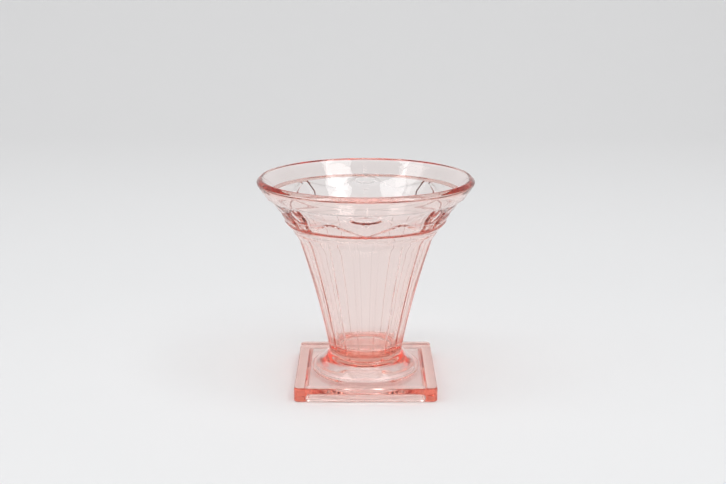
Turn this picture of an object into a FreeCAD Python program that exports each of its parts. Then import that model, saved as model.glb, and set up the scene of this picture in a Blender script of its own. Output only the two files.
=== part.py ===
import FreeCAD, Part
import os

import Sketcher
from FreeCAD import Placement, Rotation, Vector

# A small footed trumpet vase of pressed pink glass. The whole object is one casting; the
# sub-parts are the zones of that casting, stacked face to face along the vertical axis:
#   square_plinth, domed_foot, solid_stem, fluted_bowl, patterned_band, rim_lip
# Millimetres, +Z up, origin at the centre of the plinth's underside.

DRIVING = [
    # alias, value, what it is
    ("plinth_width", 74.0, "square plinth, side to side"),
    ("plinth_height", 7.4, "square plinth, thickness"),
    ("plinth_corner", 2.6, "rounding of the plinth's upright corners"),
    ("plinth_edge", 0.8, "rounding of the plinth's top edge"),
    ("recess_width", 63.6, "square recess underneath, side to side"),
    ("recess_depth", 2.6, "depth of the recess underneath"),
    ("recess_corner", 3.0, "rounding of the recess's upright corners"),
    ("recess_fillet", 2.2, "rounding between the recess's sides and its ceiling"),
    ("hollow_radius", 28.2, "round hollow under the foot, at the recess's ceiling"),
    ("hollow_neck_radius", 26.7, "round hollow level with the plinth's top"),
    ("hollow_curve_radius", 24.6, "a point on the hollow's rounding"),
    ("hollow_curve_height", 9.7, "a point on the hollow's rounding"),
    ("hollow_flat_radius", 18.0, "edge of the flat top of the hollow"),
    ("hollow_top", 11.0, "height of the top of the hollow"),
    ("foot_radius", 28.6, "domed foot where it stands on the plinth"),
    ("foot_bulge_radius", 24.3, "a point on the dome"),
    ("foot_bulge_height", 12.0, "a point on the dome"),
    ("foot_edge_height", 8.5, "height of the top of the foot's upright edge"),
    ("stem_radius", 19.3, "narrowest radius, on top of the dome"),
    ("stem_bottom", 15.6, "height of the top of the dome"),
    ("stem_top_radius", 20.0, "outside of the cone level with the bowl's floor"),
    ("floor_height", 19.8, "height of the bowl's floor"),
    ("floor_radius", 11.6, "flat part of the bowl's floor"),
    ("floor_curve_radius", 14.4, "a point on the rounding inside"),
    ("floor_curve_height", 20.8, "a point on the rounding inside"),
    ("wall_foot_radius", 16.0, "inside of the wall above the rounding"),
    ("wall_foot_height", 23.3, "height where the wall inside starts"),
    ("wall_middle_radius", 21.9, "inside of the wall half way up the cone"),
    ("cone_middle_radius", 26.8, "outside of the cone half way up"),
    ("cone_middle_height", 48.7, "half way up the cone"),
    ("cone_top_radius", 37.0, "outside of the cone at its top"),
    ("cone_top_height", 82.6, "height of the top of the cone"),
    ("cone_top_inside", 32.5, "inside of the wall at the top of the cone"),
    ("shoulder_curve_radius", 38.4, "a point on the shoulder over the flutes"),
    ("shoulder_curve_height", 83.6, "a point on the shoulder over the flutes"),
    ("band_foot_radius", 38.8, "outside where the band starts"),
    ("band_foot_inside", 34.0, "inside of the wall where the band starts"),
    ("band_bottom", 85.2, "height where the band starts"),
    ("ring_radius", 42.5, "bead around the bottom of the band"),
    ("ring_under_radius", 42.2, "lower edge of the bead"),
    ("ring_under_height", 87.5, "height of the lower edge of the bead"),
    ("ring_top", 88.4, "upper edge of the bead"),
    ("panel_foot_radius", 41.8, "pattern zone just above the bead"),
    ("panel_top_radius", 50.2, "pattern zone under the step"),
    ("panel_top_height", 100.8, "height of the top of the pattern zone"),
    ("step_radius", 52.5, "edge of the step over the pattern"),
    ("step_height", 102.0, "height of the step"),
    ("step_inside", 47.7, "inside of the wall level with the step"),
    ("rim_radius", 57.0, "outermost radius of the rim"),
    ("rim_height", 109.2, "height of the outermost radius"),
    ("rim_under_radius", 56.7, "outside of the wall just under the rim's rounding"),
    ("rim_under_height", 108.3, "height just under the rim's rounding"),
    ("rim_face_radius", 56.6, "outer edge of the rim's sloping top face"),
    ("rim_face_height", 110.2, "height of that edge"),
    ("rim_crest_radius", 54.9, "highest circle of the rim"),
    ("total_height", 111.4, "overall height, at the rim's crest"),
    ("rim_crest_outside", 55.7, "inner edge of the rim's sloping top face"),
    ("rim_crest_shoulder", 111.0, "height of that edge"),
    ("rim_inside_radius", 53.8, "inside of the wall just under the crest"),
    ("rim_inside_height", 110.7, "height just under the crest"),
    ("flute_count", 18, "flutes around the cone"),
    ("flute_hollow", 150.0, "radius of a flute's hollow section"),
    ("flute_depth_bottom", 0.25, "depth of a flute at the stem"),
    ("flute_depth_middle", 0.35, "depth of a flute half way up"),
    ("flute_depth_top", 0.5, "depth of a flute at the top of the cone"),
    ("lozenge_count", 8, "lozenges around the band"),
    ("lozenge_depth", 0.5, "depth of the sunk lozenge panels"),
    ("lozenge_half_width", 17.0, "centre to side point of a lozenge"),
    ("lozenge_bottom", 89.4, "height of a lozenge's lower point"),
    ("lozenge_middle", 95.2, "height of a lozenge's side points"),
    ("lozenge_top", 100.2, "height of a lozenge's upper point"),
    ("lozenge_reach", 40.0, "length of the prism that cuts a lozenge"),
]

NEGLIGIBLE = 1e-6

doc = FreeCAD.newDocument("footed_vase")
sheet = doc.addObject("Spreadsheet::Sheet", "Dimensions")
for row, (alias, value, meaning) in enumerate(DRIVING, start=1):
    sheet.set(f"A{row}", meaning)
    sheet.set(f"B{row}", str(value))
    sheet.setAlias(f"B{row}", alias)
doc.recompute()
size = {alias: value for alias, value, meaning in DRIVING}


def amount(terms):
    """The value of a number or of aliases added and subtracted, such as 'a + b - c'."""
    total = 0.0
    sign = 1.0
    for term in str(terms).split():
        if term in ("+", "-"):
            sign = 1.0 if term == "+" else -1.0
        else:
            total += sign * float(size.get(term, term))
    return total


def bound(terms):
    """The same terms as an expression on the sheet's cells."""
    return " ".join(f"Dimensions.{t}" if t in size else t for t in str(terms).split())


def origin_item(body, role):
    """The origin plane or axis of a body that has this role."""
    return next(f for f in body.Origin.OriginFeatures if f.Role == role)


def new_body(label):
    body = doc.addObject("PartDesign::Body", label)
    body.Label = label
    body.Placement = Placement()
    return body


def new_sketch(body, name, plane):
    sketch = body.newObject("Sketcher::SketchObject", name)
    sketch.AttachmentSupport = (origin_item(body, plane), [""])
    sketch.MapMode = "FlatFace"
    return sketch


def pin(sketch, geometry, end, across, up):
    """Holds one point of a sketch at (across, up), both bound to the sheet."""
    for kind, terms, axis in (("DistanceX", across, -2), ("DistanceY", up, -1)):
        if amount(terms) == 0.0:
            sketch.addConstraint(Sketcher.Constraint("PointOnObject", geometry, end, axis))
        else:
            constraint = Sketcher.Constraint(kind, -1, 1, geometry, end, amount(terms))
            index = sketch.addConstraint(constraint)
            sketch.setExpression(f"Constraints[{index}]", bound(terms))


def pinned_arc(sketch, start, middle, end):
    """An arc through three pinned points. Returns its index and its start's and end's numbers."""
    places = [Vector(amount(a), amount(b), 0) for a, b in (start, middle, end)]
    arc = sketch.addGeometry(Part.Arc(*places), False)
    on_arc = sketch.addGeometry(Part.Point(places[1]), True)
    pin(sketch, on_arc, 1, *middle)
    sketch.addConstraint(Sketcher.Constraint("PointOnObject", on_arc, 1, arc))
    begins_at_start = sketch.getPoint(arc, 1).distanceToPoint(places[0]) < NEGLIGIBLE
    return (arc, 1, 2) if begins_at_start else (arc, 2, 1)


def half_section(body, name, outline):
    """A closed outline in the XZ plane, ready to be revolved.

    outline is a list of (radius, height) points. A third item is a point that the span to the
    next point bends through, as an arc; without it the span is straight.
    """
    sketch = new_sketch(body, name, "XZ_Plane")
    spans = []
    for i, point in enumerate(outline):
        start = point[:2]
        end = outline[(i + 1) % len(outline)][:2]
        if len(point) == 3:
            spans.append(pinned_arc(sketch, start, point[2], end))
        else:
            line = Part.LineSegment(
                Vector(amount(start[0]), amount(start[1]), 0),
                Vector(amount(end[0]), amount(end[1]), 0),
            )
            spans.append((sketch.addGeometry(line, False), 1, 2))
    for i, (span, first, last) in enumerate(spans):
        following, following_first, unused = spans[(i + 1) % len(spans)]
        sketch.addConstraint(
            Sketcher.Constraint("Coincident", span, last, following, following_first)
        )
        pin(sketch, span, first, *outline[i][:2])
    return sketch


def revolve(body, name, outline):
    sketch = half_section(body, f"{name}_section", outline)
    turned = body.newObject("PartDesign::Revolution", name)
    turned.Profile = sketch
    turned.ReferenceAxis = (sketch, ["V_Axis"])
    turned.Angle = 360
    sketch.Visibility = False
    doc.recompute()
    return turned


def square_outline(body, name, width):
    """A square on the XY plane, centred on the axis and bound to the sheet."""
    sketch = new_sketch(body, name, "XY_Plane")
    half = amount(width) / 2
    corners = [Vector(-half, -half, 0), Vector(half, -half, 0), Vector(half, half, 0)]
    corners.append(Vector(-half, half, 0))
    for i in range(4):
        sketch.addGeometry(Part.LineSegment(corners[i], corners[(i + 1) % 4]), False)
    for i in range(4):
        sketch.addConstraint(Sketcher.Constraint("Coincident", i, 2, (i + 1) % 4, 1))
    for i in (0, 2):
        sketch.addConstraint(Sketcher.Constraint("Horizontal", i))
        sketch.addConstraint(Sketcher.Constraint("Vertical", i + 1))
    sketch.addConstraint(Sketcher.Constraint("Symmetric", 0, 1, 1, 2, -1, 1))
    wide = sketch.addConstraint(Sketcher.Constraint("DistanceX", 0, 1, 0, 2, 2 * half))
    sketch.setExpression(f"Constraints[{wide}]", bound(width))
    deep = sketch.addConstraint(Sketcher.Constraint("DistanceY", 1, 1, 1, 2, 2 * half))
    sketch.setExpression(f"Constraints[{deep}]", bound(width))
    return sketch


def upright_edges(shape, corner_distance):
    """Names of the vertical edges that stand at this distance from the axis in X and Y."""
    names = []
    for number, edge in enumerate(shape.Edges, start=1):
        ends = [v.Point for v in edge.Vertexes]
        if len(ends) != 2:
            continue
        upright = abs(ends[0].x - ends[1].x) < NEGLIGIBLE and abs(ends[0].y - ends[1].y) < NEGLIGIBLE
        if upright and abs(abs(ends[0].x) - corner_distance) < NEGLIGIBLE:
            names.append(f"Edge{number}")
    return names


def edges_at_height(shape, height, beyond):
    """Names of the edges lying at a height, further than this from the axis."""
    names = []
    for number, edge in enumerate(shape.Edges, start=1):
        box = edge.BoundBox
        level = abs(box.ZMin - height) < NEGLIGIBLE and abs(box.ZMax - height) < NEGLIGIBLE
        middle = edge.valueAt((edge.FirstParameter + edge.LastParameter) / 2)
        if level and max(abs(middle.x), abs(middle.y)) > beyond:
            names.append(f"Edge{number}")
    return names


def round_edges(body, base, name, edges, radius):
    doc.recompute()
    rounding = body.newObject("PartDesign::Fillet", name)
    rounding.Base = (base, edges)
    rounding.setExpression("Radius", bound(radius))
    doc.recompute()
    return rounding


def flutes(body):
    """Hollows around the cone: one is swept up the wall, and the rest are its polar pattern."""
    path = new_sketch(body, f"{body.Label}_flute_path", "XZ_Plane")
    start = ("stem_radius - flute_depth_bottom", "stem_bottom")
    middle = ("cone_middle_radius - flute_depth_middle", "cone_middle_height")
    end = ("cone_top_radius - flute_depth_top", "cone_top_height")
    arc, first, last = pinned_arc(path, start, middle, end)
    pin(path, arc, first, *start)
    pin(path, arc, last, *end)

    hollow = new_sketch(body, f"{body.Label}_flute_section", "XY_Plane")
    hollow.AttachmentOffset = Placement(Vector(0, 0, size["stem_bottom"]), Rotation())
    hollow.setExpression("AttachmentOffset.Base.z", bound("stem_bottom"))
    across = "stem_radius - flute_depth_bottom + flute_hollow"
    circle = Part.Circle(Vector(amount(across), 0, 0), Vector(0, 0, 1), size["flute_hollow"])
    ring = hollow.addGeometry(circle, False)
    radius = hollow.addConstraint(Sketcher.Constraint("Radius", ring, size["flute_hollow"]))
    hollow.setExpression(f"Constraints[{radius}]", bound("flute_hollow"))
    pin(hollow, ring, 3, across, "0")
    doc.recompute()

    flute = body.newObject("PartDesign::SubtractivePipe", f"{body.Label}_flute")
    flute.Profile = hollow
    flute.Spine = (path, ["Edge1"])
    doc.recompute()

    pattern = body.newObject("PartDesign::PolarPattern", f"{body.Label}_flutes")
    pattern.Originals = [flute]
    pattern.Axis = (origin_item(body, "Z_Axis"), [""])
    pattern.Angle = 360
    pattern.setExpression("Occurrences", bound("flute_count"))
    body.Tip = pattern
    doc.recompute()
    before = flute.BaseFeature.Shape.Volume
    if not pattern.Shape.Volume < before:
        raise SystemExit(f"{body.Label}: the flutes cut nothing")


def square_plinth():
    """The square base slab: rounded corners, a square recess underneath, a round opening in it."""
    body = new_body("square_plinth")
    outline = square_outline(body, "plinth_outline", "plinth_width")
    slab = body.newObject("PartDesign::Pad", "plinth_slab")
    slab.Profile = outline
    slab.setExpression("Length", bound("plinth_height"))
    doc.recompute()
    half = size["plinth_width"] / 2
    corners = round_edges(
        body, slab, "plinth_corners", upright_edges(slab.Shape, half), "plinth_corner"
    )
    top = edges_at_height(corners.Shape, size["plinth_height"], half / 2)
    softened = round_edges(body, corners, "plinth_top_edge", top, "plinth_edge")

    recess_outline = square_outline(body, "recess_outline", "recess_width")
    recess = body.newObject("PartDesign::Pocket", "plinth_recess")
    recess.Profile = recess_outline
    recess.setExpression("Length", bound("recess_depth"))
    recess.Reversed = True
    doc.recompute()
    if not recess.Shape.Volume < softened.Shape.Volume:
        raise SystemExit("square_plinth: the recess cuts nothing")
    inner = size["recess_width"] / 2
    recess_corners = round_edges(
        body, recess, "recess_corners", upright_edges(recess.Shape, inner), "recess_corner"
    )
    ceiling = edges_at_height(recess_corners.Shape, size["recess_depth"], inner / 2)
    round_edges(body, recess_corners, "recess_ceiling_edge", ceiling, "recess_fillet")

    opening = half_section(body, "plinth_opening_section", [
        ("0", "recess_depth"),
        ("hollow_radius", "recess_depth"),
        ("hollow_neck_radius", "plinth_height"),
        ("0", "plinth_height"),
    ])
    hollow = body.newObject("PartDesign::Groove", "plinth_opening")
    hollow.Profile = opening
    hollow.ReferenceAxis = (opening, ["V_Axis"])
    hollow.Angle = 360
    opening.Visibility = False
    doc.recompute()
    return body


def domed_foot():
    """The round foot, a low dome rising from the plinth to the stem, hollow underneath."""
    body = new_body("domed_foot")
    revolve(body, "foot_dome", [
        ("hollow_neck_radius", "plinth_height"),
        ("foot_radius", "plinth_height"),
        ("foot_radius", "foot_edge_height", ("foot_bulge_radius", "foot_bulge_height")),
        ("stem_radius", "stem_bottom"),
        ("0", "stem_bottom"),
        ("0", "hollow_top"),
        ("hollow_flat_radius", "hollow_top", ("hollow_curve_radius", "hollow_curve_height")),
    ])
    return body


def solid_stem():
    """The solid glass between the dome and the bowl's floor, carrying the ends of the flutes."""
    body = new_body("solid_stem")
    revolve(body, "stem_core", [
        ("0", "stem_bottom"),
        ("stem_radius", "stem_bottom"),
        ("stem_top_radius", "floor_height"),
        ("0", "floor_height"),
    ])
    flutes(body)
    return body


def fluted_bowl():
    """The hollow cone, thick walled, with hollow flutes outside and a rounded floor inside."""
    body = new_body("fluted_bowl")
    revolve(body, "bowl_wall", [
        ("floor_radius", "floor_height"),
        ("stem_top_radius", "floor_height", ("cone_middle_radius", "cone_middle_height")),
        ("cone_top_radius", "cone_top_height", ("shoulder_curve_radius", "shoulder_curve_height")),
        ("band_foot_radius", "band_bottom"),
        ("band_foot_inside", "band_bottom"),
        ("cone_top_inside", "cone_top_height", ("wall_middle_radius", "cone_middle_height")),
        ("wall_foot_radius", "wall_foot_height", ("floor_curve_radius", "floor_curve_height")),
    ])
    flutes(body)
    return body


def patterned_band():
    """The flaring band with a bead below, a step above and sunk lozenge panels between."""
    blank = new_body("band_blank")
    revolve(blank, "band_ring", [
        ("band_foot_inside", "band_bottom"),
        ("band_foot_radius", "band_bottom"),
        ("ring_under_radius", "ring_under_height"),
        ("ring_radius", "ring_top"),
        ("panel_foot_radius", "ring_top"),
        ("panel_top_radius", "panel_top_height"),
        ("step_radius", "step_height"),
        ("step_inside", "step_height"),
    ])

    outline = doc.addObject("Sketcher::SketchObject", "lozenge_outline")
    outline.Placement = Placement(Vector(), Rotation(Vector(1, 0, 0), 90))
    points = [
        ("lozenge_half_width", "lozenge_middle"),
        ("0", "lozenge_top"),
        ("0 - lozenge_half_width", "lozenge_middle"),
        ("0", "lozenge_bottom"),
    ]
    places = [Vector(amount(a), amount(b), 0) for a, b in points]
    for i in range(4):
        outline.addGeometry(Part.LineSegment(places[i], places[(i + 1) % 4]), False)
    for i in range(4):
        outline.addConstraint(Sketcher.Constraint("Coincident", i, 2, (i + 1) % 4, 1))
        pin(outline, i, 1, *points[i])

    prisms = []
    for i in range(int(size["lozenge_count"])):
        prism = doc.addObject("Part::Extrusion", f"lozenge_prism_{i + 1}")
        prism.Base = outline
        prism.DirMode = "Custom"
        prism.Dir = Vector(0, -1, 0)
        prism.Solid = True
        prism.setExpression("LengthFwd", "Dimensions.rim_radius")
        prism.setExpression("LengthRev", "0 - (Dimensions.rim_radius - Dimensions.lozenge_reach)")
        turn = Rotation(Vector(0, 0, 1), i * 360 / size["lozenge_count"])
        prism.Placement = Placement(Vector(), turn)
        prisms.append(prism)
    lozenges = doc.addObject("Part::MultiFuse", "lozenge_prisms")
    lozenges.Shapes = prisms

    core = doc.addObject("Part::Cone", "lozenge_core")
    core.setExpression("Radius1", "Dimensions.panel_foot_radius - Dimensions.lozenge_depth")
    core.setExpression("Radius2", "Dimensions.panel_top_radius - Dimensions.lozenge_depth")
    core.setExpression("Height", "Dimensions.panel_top_height - Dimensions.ring_top")
    core.Placement = Placement(Vector(0, 0, size["ring_top"]), Rotation())
    core.setExpression("Placement.Base.z", bound("ring_top"))

    cutter = doc.addObject("Part::Cut", "lozenge_cutter")
    cutter.Base = lozenges
    cutter.Tool = core
    band = doc.addObject("Part::Cut", "patterned_band")
    band.Label = "patterned_band"
    band.Base = blank
    band.Tool = cutter
    doc.recompute()
    return band


def rim_lip():
    """The plain flared lip above the step, its end rounded and square to the wall."""
    body = new_body("rim_lip")
    revolve(body, "lip_ring", [
        ("step_inside", "step_height"),
        ("step_radius", "step_height"),
        ("rim_under_radius", "rim_under_height", ("rim_radius", "rim_height")),
        ("rim_face_radius", "rim_face_height"),
        ("rim_crest_outside", "rim_crest_shoulder", ("rim_crest_radius", "total_height")),
        ("rim_inside_radius", "rim_inside_height"),
    ])
    return body


parts = [
    square_plinth(), domed_foot(), solid_stem(), fluted_bowl(), patterned_band(), rim_lip()
]
doc.recompute()

for item in doc.Objects:
    if any(word in ("Invalid", "Error") for word in item.State):
        raise SystemExit(f"{item.Label} failed: {item.State}")
for item in parts:
    if item.Shape.isNull() or not item.Shape.isValid():
        raise SystemExit(f"{item.Label} has no valid shape")

os.makedirs("parts", exist_ok=True)
for item in parts:
    item.Shape.exportStep(f"parts/{item.Label}.step")
    box = item.Shape.optimalBoundingBox(False)
    volume = item.Shape.Volume / 1000
    print(f"{item.Label}: {volume:.1f} cm3, z {box.ZMin:.2f} to {box.ZMax:.2f},"
          f" x {box.XMin:.2f} to {box.XMax:.2f}, solids {len(item.Shape.Solids)}")
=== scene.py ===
"""A footed trumpet vase of pressed pink glass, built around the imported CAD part.

The vase is one pressing, so it is one closed mesh: rings of points from the middle of the bowl's
floor, up the inside wall, over the rim, down the patterned band, the fluted cone, the dome and
the square plinth, to the middle of the hollow underneath. The profile and the pattern are in
millimetres, the studio in metres.
"""

import math

import bpy
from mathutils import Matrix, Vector


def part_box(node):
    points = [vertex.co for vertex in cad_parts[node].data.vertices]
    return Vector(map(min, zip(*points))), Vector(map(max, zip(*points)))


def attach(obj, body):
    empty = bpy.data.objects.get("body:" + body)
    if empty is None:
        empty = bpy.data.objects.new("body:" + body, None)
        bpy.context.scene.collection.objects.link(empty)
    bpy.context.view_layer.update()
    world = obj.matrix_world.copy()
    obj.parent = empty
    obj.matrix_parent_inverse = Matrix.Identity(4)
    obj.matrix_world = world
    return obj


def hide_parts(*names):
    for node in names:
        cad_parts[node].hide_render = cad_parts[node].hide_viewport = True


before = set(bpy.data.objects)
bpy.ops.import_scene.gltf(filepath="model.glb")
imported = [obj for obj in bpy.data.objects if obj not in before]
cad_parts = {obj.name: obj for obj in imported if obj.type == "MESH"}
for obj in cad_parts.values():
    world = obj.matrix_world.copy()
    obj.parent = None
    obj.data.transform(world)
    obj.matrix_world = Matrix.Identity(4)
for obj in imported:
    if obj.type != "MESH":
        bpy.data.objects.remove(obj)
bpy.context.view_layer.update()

MM = 0.001

# ---------------------------------------------------------------- sizes from the CAD frame (mm)


def box_mm(node):
    low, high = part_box(node)
    return low / MM, high / MM


PLINTH_HALF = box_mm("square_plinth")[1].x
PLINTH_TOP = box_mm("square_plinth")[1].z
FOOT_R = box_mm("domed_foot")[1].x
FOOT_TOP = box_mm("domed_foot")[1].z
FLOOR_Z = box_mm("solid_stem")[1].z
BAND_FOOT_R = box_mm("fluted_bowl")[1].x
BAND_FOOT_Z = box_mm("fluted_bowl")[1].z
STEP_R = box_mm("patterned_band")[1].x
STEP_Z = box_mm("patterned_band")[1].z
RIM_R = box_mm("rim_lip")[1].x
RIM_TOP = box_mm("rim_lip")[1].z

# Sizes that a node's box doesn't give, in millimetres.
STEM_R = 19.3
CONE_TOP = (37.0, 82.6)
CONE_MIDDLE = (26.8, 48.7)
DOME_BULGE = (24.3, 12.0)
PLINTH_CORNER = 2.6
RECESS_HALF = 31.8
RECESS_CORNER = 3.0
RECESS_DEPTH = 2.6
HOLLOW_R = 28.2
HOLLOW_TOP = 11.0
PANEL_FOOT = (41.8, 88.4)
PANEL_TOP = (50.2, 100.8)
RING_R = 42.4
AXIS_R = 0.8  # of the small rings round the axis that close the mesh at both ends

# Where one run of rows ends and the next begins (radius, height).
RIM_EDGE = (RIM_R - 0.57, 107.7)
STEP_EDGE = (STEP_R + 0.9, STEP_Z + 1.3)
SHOULDER_EDGE = (BAND_FOOT_R, BAND_FOOT_Z - 0.6)
FOOT_EDGE_Z = PLINTH_TOP + 1.1
PLINTH_INNER_R = FOOT_R + 1.2
HOLLOW_OUTER_R = HOLLOW_R + 0.6
PLINTH_EDGE = 0.8  # rounding of the plinth's long edges

FLUTES = 18
FLUTE_ANGLE = 360 / FLUTES
FLUTE_DEPTH = 0.006  # of the cone's radius there
FURROW_DEPTH = 0.4
FURROW_HALF = 0.7
LOZENGES = 8
LOZENGE_ANGLE = 360 / LOZENGES
SEAMS = 4
SEAM_HEIGHT = 0.35
SEAM_HALF_ANGLE = 0.9

# ---------------------------------------------------------------- the outline


def arc(start, via, end, steps):
    """Points on the circle through three points, from start up to but not including end."""
    (ax, ay), (bx, by), (cx, cy) = start, via, end
    d = 2 * (ax * (by - cy) + bx * (cy - ay) + cx * (ay - by))
    a2, b2, c2 = ax * ax + ay * ay, bx * bx + by * by, cx * cx + cy * cy
    ox = (a2 * (by - cy) + b2 * (cy - ay) + c2 * (ay - by)) / d
    oy = (a2 * (cx - bx) + b2 * (ax - cx) + c2 * (bx - ax)) / d
    radius = math.hypot(ax - ox, ay - oy)
    first = math.atan2(ay - oy, ax - ox)
    turn = (math.atan2(cy - oy, cx - ox) - first + math.pi) % (2 * math.pi) - math.pi
    angles = [first + turn * i / steps for i in range(steps)]
    return [(ox + radius * math.cos(a), oy + radius * math.sin(a), 0) for a in angles]


def smooth_outline(corners, zone, spacing):
    """Rows (radius, height, zone) along a polyline whose corners (r, z, rounding) are rounded.

    The first and the last corner are kept as they are. Straight stretches are divided to spacing.
    """
    path = [Vector(corners[0][:2])]
    for before, here, after in zip(corners, corners[1:], corners[2:]):
        p, a, b = Vector(here[:2]), Vector(before[:2]), Vector(after[:2])
        into, out = (p - a).normalized(), (b - p).normalized()
        turn = math.acos(max(-1, min(1, into.dot(out))))
        if here[2] == 0 or turn < 1e-4:
            path.append(p)
            continue
        reach = here[2] * math.tan(turn / 2)
        start, end = p - into * reach, p + out * reach
        centre = p + (out - into).normalized() * (here[2] / math.cos(turn / 2))
        steps = max(2, math.ceil(math.degrees(turn) / 11))
        for i in range(steps + 1):
            share = i / steps
            around = math.sin((1 - share) * turn) * (start - centre)
            around += math.sin(share * turn) * (end - centre)
            path.append(centre + around / math.sin(turn))
    path.append(Vector(corners[-1][:2]))
    rows = []
    for a, b in zip(path, path[1:]):
        pieces = max(1, math.ceil((b - a).length / spacing))
        rows += [(*a.lerp(b, i / pieces), zone) for i in range(pieces)]
    return rows


def inside_rows():
    """The floor, the inside wall and the rim, to just under the rim's outer edge."""
    return smooth_outline([
        (AXIS_R, FLOOR_Z, 0),
        (15.2, FLOOR_Z, 4.5),
        (22.0, 48.7, 240),
        (32.2, 83.2, 30),
        (47.8, 102.0, 60),
        (54.4, RIM_TOP + 0.35, 0.9),
        (RIM_R + 0.15, 109.3, 1.1),
        (*RIM_EDGE, 0),
    ], "plain", 4.0)


def rim_underside_rows():
    """The plain flare under the rim, down to the step."""
    return smooth_outline([(*RIM_EDGE, 0), (*STEP_EDGE, 0)], "band", 3.0)


def band_rows():
    """The step, the pattern zone and the bead at the bottom of the band."""
    return smooth_outline([
        (*STEP_EDGE, 0),
        (STEP_R, STEP_Z, 0.9),
        (*PANEL_TOP, 0.5),
        (*PANEL_FOOT, 0.3),
        (RING_R - 0.1, 88.5, 0.45),
        (RING_R - 0.9, 87.2, 1.5),
        (BAND_FOOT_R + 1.2, BAND_FOOT_Z + 0.3, 1.2),
        (*SHOULDER_EDGE, 0),
    ], "band", 0.62)


def cone_rows():
    """The shoulder over the flutes, the fluted cone and the crease where it meets the dome."""
    cone = arc(CONE_TOP, CONE_MIDDLE, (STEM_R, FOOT_TOP), 22)
    return smooth_outline([
        (*SHOULDER_EDGE, 0),
        (CONE_TOP[0] + 1.4, CONE_TOP[1] + 0.6, 1.6),
        *cone[1:],
        (STEM_R, FOOT_TOP, 0),
    ], "cone", 3.2)


def foot_rows():
    """The dome, out to a circle on the plinth's top."""
    dome = arc((STEM_R, FOOT_TOP), DOME_BULGE, (FOOT_R, FOOT_EDGE_Z), 10)
    return smooth_outline([
        *dome,
        (FOOT_R, FOOT_EDGE_Z, 0.2),
        (FOOT_R, PLINTH_TOP, 0.15),
        (PLINTH_INNER_R, PLINTH_TOP, 0),
    ], "plain", 1.4)


def plinth_rows():
    """The plinth's top, sides, standing frame and recess. The radius is the half width."""
    return smooth_outline([
        (PLINTH_INNER_R, PLINTH_TOP, 0),
        (PLINTH_HALF, PLINTH_TOP, PLINTH_EDGE),
        (PLINTH_HALF, 0, PLINTH_EDGE),
        (RECESS_HALF, 0, 0.5),
        (RECESS_HALF - 1.4, RECESS_DEPTH, 1.6),
        (HOLLOW_OUTER_R, RECESS_DEPTH, 0),
    ], "square", 2.2)


def hollow_rows():
    """The round hollow under the dome, up from the recess's ceiling."""
    return smooth_outline([
        (HOLLOW_OUTER_R, RECESS_DEPTH, 0),
        (HOLLOW_R, RECESS_DEPTH, 0.3),
        (26.6, 7.8, 2.6),
        (18.6, HOLLOW_TOP, 4.0),
        (AXIS_R, HOLLOW_TOP, 0),
    ], "plain", 2.4)


# ---------------------------------------------------------------- the pattern


def wrap(angle, period):
    """The angle from the nearest multiple of period, from minus half of it to plus half."""
    return (angle + period / 2) % period - period / 2


def soft(x):
    """A smooth step from 0 at x = 0 to 1 at x = 1."""
    x = max(0.0, min(1.0, x))
    return x * x * (3 - 2 * x)


def groove(x, y, start, end, half_width):
    """From 0 to 1, how deep a point is in a V groove that runs from start to end."""
    dx, dy = end[0] - start[0], end[1] - start[1]
    along = ((x - start[0]) * dx + (y - start[1]) * dy) / (dx * dx + dy * dy)
    along = max(0.0, min(1.0, along))
    away = math.hypot(x - start[0] - along * dx, y - start[1] - along * dy)
    return max(0.0, 1 - away / half_width)


PANEL_LENGTH = math.hypot(PANEL_TOP[0] - PANEL_FOOT[0], PANEL_TOP[1] - PANEL_FOOT[1])
LOZENGE_DEPTH = 0.4
LOZENGE_SLOPE = 0.1  # width of the slope at its border, as a share of its half size
BORDER = 0.075  # half width of the groove round a lozenge, as a share of its half size
BORDER_DEPTH = 0.35
LOZENGE_CENTRE = 0.55  # up the panel, as a share of its length
# The leaf's two edges (across, up); it leans to the vase's left and right sides.
LEAF_OUTER = [(2.2, 14.2), (9.6, 9.6), (6.2, 1.8)]
LEAF_INNER = [(-2.2, 14.2), (-3.8, 8.0), (-1.8, 1.6)]
LEAF_DEPTH = 0.7
LEAF_STROKE = 1.4
EYE = (6.8, 2.3)  # half axes of the eye
EYE_DEPTH = 0.65
EYE_STROKE = 0.95
EYE_UP = 12.3  # the eye's centre, along the panel
# The small raised ring under the eye.
DOT_UP = 8.4
DOT_R = 1.2
DOT_HEIGHT = 0.5
DOT_HALF_WIDTH = 0.6


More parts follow.
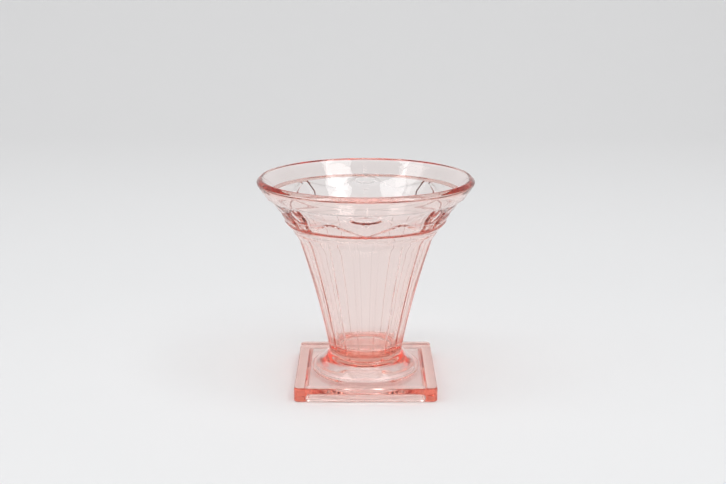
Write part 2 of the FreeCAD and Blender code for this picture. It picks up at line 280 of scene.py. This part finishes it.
def pattern(angle, radius, height):
    """How far the band's surface is sunk at a point, in millimetres."""
    up = (height - PANEL_FOOT[1]) / (PANEL_TOP[1] - PANEL_FOOT[1])
    if not 0.0 < up < 1.0:
        return 0.0
    off = wrap(angle, LOZENGE_ANGLE)
    rise = (1 - LOZENGE_CENTRE) if up > LOZENGE_CENTRE else LOZENGE_CENTRE
    inside = 1 - abs(off) / (LOZENGE_ANGLE / 2) - abs(up - LOZENGE_CENTRE) / rise
    sunk = LOZENGE_DEPTH * soft(inside / LOZENGE_SLOPE)
    sunk += BORDER_DEPTH * max(0.0, 1 - abs(inside) / BORDER)
    across = math.radians(off) * radius
    along = up * PANEL_LENGTH
    leaf_lozenge = round((angle - off) / LOZENGE_ANGLE) % 2 == 1
    if leaf_lozenge:
        lean = across if math.sin(2 * math.radians(angle)) > 0 else -across
        strokes = [
            groove(lean, along, a, b, LEAF_STROKE)
            for edge in (LEAF_OUTER, LEAF_INNER) for a, b in zip(edge, edge[1:])
        ]
        sunk += LEAF_DEPTH * max(strokes)
    else:
        x, y = across / EYE[0], (along - EYE_UP) / EYE[1]
        edge = abs(1 - math.hypot(x, y)) * EYE[1]
        sunk += EYE_DEPTH * max(0.0, 1 - edge / EYE_STROKE)
        from_dot = abs(math.hypot(across, along - DOT_UP) - DOT_R)
        sunk -= DOT_HEIGHT * soft(1 - from_dot / DOT_HALF_WIDTH)
    return sunk


def seam(angle):
    """How far the mould seam stands proud, in millimetres."""
    off = abs(wrap(angle, 360 / SEAMS))
    return SEAM_HEIGHT * soft(1 - off / SEAM_HALF_ANGLE)


def fluted(angle, radius, share):
    """The cone's radius with its shallow flutes and the furrows between; share fades both out."""
    off = wrap(angle, FLUTE_ANGLE) / (FLUTE_ANGLE / 2)
    from_edge = math.radians((1 - abs(off)) * FLUTE_ANGLE / 2) * radius
    furrow = FURROW_DEPTH * soft(1 - from_edge / FURROW_HALF)
    return radius - share * (FLUTE_DEPTH * radius * (1 - off * off) + furrow)


def square(angle, half, corner):
    """Distance from the axis to a rounded square's side in this direction."""
    a = math.radians(abs(wrap(angle, 90)))
    flat = half / math.cos(a)
    if flat * math.sin(a) <= half - corner:
        return flat
    centre = (half - corner) * math.sqrt(2)
    b = math.pi / 4 - a
    return centre * math.cos(b) + math.sqrt(max(0.0, corner**2 - (centre * math.sin(b)) ** 2))


# ---------------------------------------------------------------- the mesh


def even(count):
    """Directions evenly spaced all round, in degrees."""
    return [360 * i / count for i in range(count)]


def plinth_angles():
    """Directions for the plinth: close together round the corners, wider along the sides."""
    tangent = math.degrees(math.atan((PLINTH_HALF - PLINTH_CORNER) / PLINTH_HALF))
    half_side, corner = 20, 14
    quarter = [tangent * i / half_side for i in range(half_side)]
    quarter += [tangent + (90 - 2 * tangent) * i / corner for i in range(corner)]
    quarter += [90 - tangent + tangent * i / half_side for i in range(half_side)]
    return [90 * side + a for side in range(4) for a in quarter]


def cone_angles():
    """Directions for the cone: close together across each furrow, wider between."""
    half = [0.0, 2.0, 4.0, 5.8, 7.2, 8.2, 8.7, 9.1, 9.4, 9.7]
    flute = half + [FLUTE_ANGLE / 2] + [FLUTE_ANGLE - a for a in reversed(half[1:])]
    return [FLUTE_ANGLE * i + a for i in range(FLUTES) for a in flute]


ANGLES = {
    "plain": even(288),
    "band": even(600),
    "cone": cone_angles(),
    "square": plinth_angles(),
}


def squared(angle, r, z):
    """The distance from the axis on the plinth, which goes from round inside to square outside."""
    smallest_corner = 0.6
    turns_square = 0.9  # the width outside the hollow over which the recess's rows turn square
    if z > RECESS_DEPTH + 0.01:
        corner = PLINTH_CORNER - (PLINTH_HALF - r)
        share = soft((r - PLINTH_INNER_R) / (PLINTH_HALF - PLINTH_EDGE - PLINTH_INNER_R))
    else:
        corner = RECESS_CORNER - (RECESS_HALF - r)
        share = soft((r - HOLLOW_OUTER_R) / turns_square)
        if r > RECESS_HALF:
            corner = PLINTH_CORNER - (PLINTH_HALF - r)
    return r + share * (square(angle, r, max(corner, smallest_corner)) - r)


def place(angle, row):
    """The point of a row in a direction, in metres, with the pattern, flutes or square applied."""
    r, z, zone = row
    lift = 0.0
    if zone == "band":
        sunk = pattern(angle, r, z) - seam(angle)
        slope = math.atan2(PANEL_TOP[1] - PANEL_FOOT[1], PANEL_TOP[0] - PANEL_FOOT[0])
        r -= sunk * math.sin(slope)
        lift = sunk * math.cos(slope)
    elif zone == "cone":
        fade = soft((CONE_TOP[1] + 1.0 - z) / 2.2)
        r = fluted(angle, r, fade)
    elif zone == "square":
        r = squared(angle, r, z)
    a = math.radians(angle)
    return Vector((r * math.sin(a), -r * math.cos(a), z + lift)) * MM


def bridge(lower, upper, lower_angles, upper_angles, faces):
    """Joins two closed rings of points with different spacing by a strip of triangles."""
    i = j = 0
    n, m = len(lower), len(upper)
    while i < n or j < m:
        next_i = lower_angles[i + 1] if i + 1 < n else 360.0
        next_j = upper_angles[j + 1] if j + 1 < m else 360.0
        if j >= m or (i < n and next_i <= next_j):
            faces.append((lower[(i + 1) % n], lower[i % n], upper[j % m]))
            i += 1
        else:
            faces.append((upper[(j + 1) % m], lower[i % n], upper[j % m]))
            j += 1


def join(lower, upper, faces):
    """Joins two closed rings of points with the same spacing by a strip of quads."""
    count = len(lower)
    for i in range(count):
        k = (i + 1) % count
        faces.append((lower[k], lower[i], upper[i], upper[k]))


def close(ring, height, upward, points, faces):
    """Fills a ring round the axis with a fan of triangles that faces up or down."""
    centre = len(points)
    points.append(Vector((0, 0, height)) * MM)
    for i, here in enumerate(ring):
        following = ring[(i + 1) % len(ring)]
        faces.append((centre, here, following) if upward else (centre, following, here))


def all_rows():
    """Every row of the outline in order, from the floor's middle to the hollow's."""
    runs = (
        inside_rows, rim_underside_rows, band_rows, cone_rows, foot_rows, plinth_rows, hollow_rows
    )
    rows = [row for run in runs for row in run()]
    rows.append((AXIS_R, HOLLOW_TOP, "plain"))
    return rows


def vase_mesh():
    """The whole pressing as one closed mesh."""
    points, faces = [], []
    rings = []
    for row in all_rows():
        angles = ANGLES[row[2]]
        first = len(points)
        points += [place(a, row) for a in angles]
        rings.append((list(range(first, len(points))), angles))
    for (lower, low_angles), (upper, up_angles) in zip(rings, rings[1:]):
        if len(lower) == len(upper):
            join(lower, upper, faces)
        else:
            bridge(lower, upper, low_angles, up_angles, faces)
    close(rings[0][0], FLOOR_Z, True, points, faces)
    close(rings[-1][0], HOLLOW_TOP, False, points, faces)
    mesh = bpy.data.meshes.new("vase_glass")
    mesh.from_pydata(points, [], faces)
    mesh.validate()
    mesh.shade_smooth()
    return mesh


# ---------------------------------------------------------------- materials


def pink_glass():
    """Pressed glass tinted in the mass, so the colour deepens with the way light takes through."""
    material = bpy.data.materials.new("pink_glass")
    material.use_nodes = True
    tree = material.node_tree
    shader = tree.nodes["Principled BSDF"]
    shader.inputs["Base Color"].default_value = (1, 1, 1, 1)
    shader.inputs["Transmission Weight"].default_value = 1.0
    shader.inputs["IOR"].default_value = 1.51
    shader.inputs["Roughness"].default_value = 0.0
    absorption = tree.nodes.new("ShaderNodeVolumeAbsorption")
    absorption.inputs["Color"].default_value = (0.985, 0.38, 0.21, 1)
    absorption.inputs["Density"].default_value = 30.0
    output = tree.nodes["Material Output"]
    tree.links.new(absorption.outputs["Volume"], output.inputs["Volume"])

    # Pressed glass has faint long ripples from the mould.
    coordinates = tree.nodes.new("ShaderNodeTexCoord")
    ripple = tree.nodes.new("ShaderNodeTexNoise")
    ripple.inputs["Scale"].default_value = 90.0
    ripple.inputs["Detail"].default_value = 2.0
    bump = tree.nodes.new("ShaderNodeBump")
    bump.inputs["Strength"].default_value = 0.12
    bump.inputs["Distance"].default_value = 0.0004
    tree.links.new(coordinates.outputs["Object"], ripple.inputs["Vector"])
    tree.links.new(ripple.outputs["Fac"], bump.inputs["Height"])
    tree.links.new(bump.outputs["Normal"], shader.inputs["Normal"])
    return material


def paper():
    """Matt white paper for the studio, with a painted shade: darker where it rises behind the vase."""
    material = bpy.data.materials.new("paper")
    material.use_nodes = True
    tree = material.node_tree
    shader = tree.nodes["Principled BSDF"]
    shader.inputs["Roughness"].default_value = 0.9
    shader.inputs["Specular IOR Level"].default_value = 0.2
    coordinates = tree.nodes.new("ShaderNodeTexCoord")
    height = tree.nodes.new("ShaderNodeSeparateXYZ")
    # Painted shade: above 6 cm, where the paper rises into the wall, its colour is made darker for the
    # light that falls off there.
    ramp = tree.nodes.new("ShaderNodeValToRGB")
    ramp.color_ramp.elements[0].position = 0.0
    ramp.color_ramp.elements[0].color = (0.765, 0.768, 0.773, 1)
    ramp.color_ramp.elements[1].position = 0.06
    ramp.color_ramp.elements[1].color = (0.67, 0.67, 0.673, 1)
    tree.links.new(coordinates.outputs["Object"], height.inputs["Vector"])
    tree.links.new(height.outputs["Z"], ramp.inputs["Fac"])
    tree.links.new(ramp.outputs["Color"], shader.inputs["Base Color"])
    return material


# ---------------------------------------------------------------- the studio


def sweep():
    """A pale floor that curves up into a wall behind the vase."""
    front, back, radius, top, half = -1.2, 0.2, 0.6, 2.2, 2.4
    gap = 0.0002  # glass on paper rests on a few points, with air between
    outline = [(front, -gap), (back, -gap)]
    turns = 24
    for i in range(1, turns + 1):
        a = math.pi / 2 * i / turns
        outline.append((back + radius * math.sin(a), radius * (1 - math.cos(a)) - gap))
    outline.append((back + radius, top))
    points = [Vector((x, y, z)) for y, z in outline for x in (-half, half)]
    faces = [(2 * i, 2 * i + 1, 2 * i + 3, 2 * i + 2) for i in range(len(outline) - 1)]
    mesh = bpy.data.meshes.new("studio_sweep")
    mesh.from_pydata(points, [], faces)
    mesh.shade_smooth()
    obj = bpy.data.objects.new("studio_sweep", mesh)
    bpy.context.scene.collection.objects.link(obj)
    obj.data.materials.append(paper())


def softbox(name, azimuth, elevation, width, height, watts):
    """A rectangular light 1.4 m from the vase. Azimuth 0 is over the camera, positive to its right."""
    light = bpy.data.lights.new(name, "AREA")
    light.shape = "RECTANGLE"
    light.size, light.size_y = width, height
    light.energy = watts
    obj = bpy.data.objects.new(name, light)
    a, e = math.radians(azimuth), math.radians(elevation)
    toward = Vector((math.sin(a) * math.cos(e), -math.cos(a) * math.cos(e), math.sin(e)))
    obj.location = toward * 1.4
    obj.rotation_euler = (-toward).to_track_quat("-Z", "Y").to_euler()
    bpy.context.scene.collection.objects.link(obj)


def surroundings():
    """An even pale light from all round, a little brighter overhead."""
    world = bpy.data.worlds.new("studio")
    bpy.context.scene.world = world
    world.use_nodes = True
    tree = world.node_tree
    background = tree.nodes["Background"]
    coordinates = tree.nodes.new("ShaderNodeTexCoord")
    height = tree.nodes.new("ShaderNodeSeparateXYZ")
    ramp = tree.nodes.new("ShaderNodeValToRGB")
    ramp.color_ramp.elements[0].position = 0.0
    ramp.color_ramp.elements[0].color = (0.90, 0.90, 0.905, 1)
    ramp.color_ramp.elements[1].position = 1.0
    ramp.color_ramp.elements[1].color = (1.25, 1.255, 1.265, 1)
    tree.links.new(coordinates.outputs["Generated"], height.inputs["Vector"])
    tree.links.new(height.outputs["Z"], ramp.inputs["Fac"])
    tree.links.new(ramp.outputs["Color"], background.inputs["Color"])
    background.inputs["Strength"].default_value = 0.51


def studio():
    """The paper, the surroundings and the lights, whose reflections lie on the inside wall and rim."""
    sweep()
    surroundings()
    softbox("softbox_left", -72, 47, 0.65, 0.5, 1.9)
    softbox("softbox_right", 48, 56, 0.5, 0.5, 2.8)
    softbox("overhead", 0, 81, 1.8, 0.40, 8.8)


def camera():
    """The camera, in front of the vase and looking slightly down on it."""
    looks_down = 14.157
    data = bpy.data.cameras.new("camera")
    data.sensor_width = 36
    data.lens = 56.1
    obj = bpy.data.objects.new("camera", data)
    obj.location = (-0.0014, -0.5814, 0.2224)
    obj.rotation_euler = (math.radians(90 - looks_down), 0, 0)
    bpy.context.scene.collection.objects.link(obj)
    bpy.context.scene.camera = obj


# ---------------------------------------------------------------- the scene

vase = bpy.data.objects.new("vase_glass", vase_mesh())
bpy.context.scene.collection.objects.link(vase)
vase.data.materials.append(pink_glass())
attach(vase, "root")
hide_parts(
    "square_plinth", "domed_foot", "solid_stem", "fluted_bowl", "patterned_band", "rim_lip"
)

studio()
camera()

scene = bpy.context.scene
scene.view_settings.view_transform = "Standard"
scene.cycles.max_bounces = 32
scene.cycles.transmission_bounces = 32
scene.cycles.glossy_bounces = 16
scene.cycles.diffuse_bounces = 16
scene.cycles.blur_glossy = 0.0
